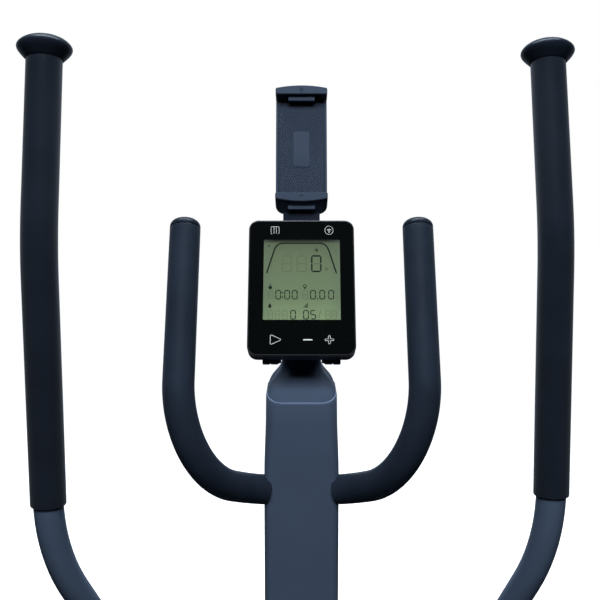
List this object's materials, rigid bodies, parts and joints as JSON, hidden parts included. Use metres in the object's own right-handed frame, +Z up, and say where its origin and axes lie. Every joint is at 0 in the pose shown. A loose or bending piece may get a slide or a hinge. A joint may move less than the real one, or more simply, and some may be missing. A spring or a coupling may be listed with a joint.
{
  "type": "elliptical trainer",
  "caption": "Rear-drive elliptical trainer with a leaning mast, touch console, spring phone holder, fixed U handlebar, swinging hand levers, pedal bars, crank discs and a drive housing.",
  "frame": {"origin": "on the floor, in the middle of the machine's width and length", "axes": "+X to the user's right, +Y towards the front of the machine (away from the user), +Z up"},
  "size_m": [0.6, 1.25, 1.6196],
  "materials": {
    "frame_paint": "satin powder coat",
    "cover_plastic": "fine-grained moulded plastic",
    "black_plastic": "moulded plastic",
    "grip_foam": "smooth closed-cell foam",
    "grip_caps": "smooth soft plastic",
    "rubber": "moulded rubber",
    "steel": "machined",
    "cast_iron": "turned casting",
    "zinc": "zinc plated",
    "console_front": "high gloss",
    "display": "liquid crystal display",
    "board": "circuit board"
  },
  "bodies": {
    "frame": {"base_beam": "frame_paint", "drive_frame": "steel", "cross_feet": "frame_paint", "front_end_caps": "black_plastic", "rear_end_caps": "black_plastic", "frame_bolts": "zinc", "mast_tube": "steel", "mast_cover_rear": "cover_plastic", "mast_cover_front": "cover_plastic", "mast_head": "cover_plastic", "mast_boot": "cover_plastic", "pivot_axle": "steel", "axle_caps": "black_plastic", "fixed_handlebar": "steel", "fixed_grip_left": "grip_foam", "fixed_grip_right": "grip_foam", "fixed_grip_caps": "grip_caps", "housing_left": "cover_plastic", "housing_right": "cover_plastic", "housing_screws": "zinc", "drive_bearings": "zinc", "drive_belt": "rubber", "brake_motor": "black_plastic", "console_back": "black_plastic", "console_bezel": "black_plastic", "console_glass": "console_front", "console_display": "display", "circuit_board": "board", "console_screws": "zinc", "holder_neck": "cover_plastic", "holder_back": "cover_plastic", "holder_pad": "rubber"},
    "lever_left": {"lever_arm_left": "frame_paint", "handlebar_left": "frame_paint", "grip_left": "grip_foam", "grip_cap_left": "grip_caps", "handlebar_bolts_left": "zinc"},
    "lever_right": {"lever_arm_right": "frame_paint", "handlebar_right": "frame_paint", "grip_right": "grip_foam", "grip_cap_right": "grip_caps", "handlebar_bolts_right": "zinc"},
    "bar_left": {"pedal_bar_left": "frame_paint", "pedal_left": "black_plastic", "pedal_pad_left": "rubber", "crank_pin_left": "steel"},
    "bar_right": {"pedal_bar_right": "frame_paint", "pedal_right": "black_plastic", "pedal_pad_right": "rubber", "crank_pin_right": "steel"},
    "crank": {"crank_axle": "steel", "drive_pulley": "black_plastic", "crank_arms": "steel", "crank_discs": "cover_plastic"},
    "flywheel": {"flywheel": "cast_iron", "flywheel_axle": "steel"},
    "brake": {"brake_arm": "black_plastic"},
    "jaw": {"upper_jaw": "cover_plastic"},
    "wheel_left": {"transport_wheel_left": "rubber"},
    "wheel_right": {"transport_wheel_right": "rubber"}
  },
  "joints": [
    {"name": "lever_left_swing", "type": "hinge", "parent": "frame", "child": "lever_left", "pos_m": [0, 0.47707, 0.875], "axis": [1, 0, 0], "range_deg": [-17.1, 13.8]},
    {"name": "lever_right_swing", "type": "hinge", "parent": "frame", "child": "lever_right", "pos_m": [0, 0.47707, 0.875], "axis": [1, 0, 0], "range_deg": [-13.8, 17.1]},
    {"name": "bar_left_pivot", "type": "hinge", "parent": "lever_left", "child": "bar_left", "pos_m": [0, 0.50607, 0.33077], "axis": [1, 0, 0], "range_deg": [-13.8, 17.1]},
    {"name": "bar_right_pivot", "type": "hinge", "parent": "lever_right", "child": "bar_right", "pos_m": [0, 0.47469, 0.33], "axis": [1, 0, 0], "range_deg": [-17.1, 13.8]},
    {"name": "crank_spin", "type": "hinge", "parent": "frame", "child": "crank", "pos_m": [0, -0.39, 0.29], "axis": [1, 0, 0], "continuous": true},
    {"name": "flywheel_spin", "type": "hinge", "parent": "frame", "child": "flywheel", "pos_m": [0, -0.205, 0.228], "axis": [1, 0, 0], "continuous": true},
    {"name": "brake_swing", "type": "hinge", "parent": "frame", "child": "brake", "pos_m": [0, -0.10108, 0.168], "axis": [1, 0, 0], "range_deg": [-3, 0]},
    {"name": "jaw_slide", "type": "slide", "parent": "frame", "child": "jaw", "axis": [0, 0.2368, 0.9715], "range_m": [0, 0.03], "stiffness_N_per_m": 120, "springref_m": -0.01},
    {"name": "wheel_left_spin", "type": "hinge", "parent": "frame", "child": "wheel_left", "pos_m": [0, 0.593, 0.036], "axis": [1, 0, 0], "continuous": true},
    {"name": "wheel_right_spin", "type": "hinge", "parent": "frame", "child": "wheel_right", "pos_m": [0, 0.593, 0.036], "axis": [1, 0, 0], "continuous": true}
  ],
  "couplings": [
    {"joint": "lever_right_swing", "follows": "lever_left_swing", "ratio": -1},
    {"joint": "bar_left_pivot", "follows": "lever_left_swing", "ratio": -1},
    {"joint": "bar_right_pivot", "follows": "lever_left_swing", "ratio": 1},
    {"joint": "flywheel_spin", "follows": "crank_spin", "ratio": 8}
  ]
}
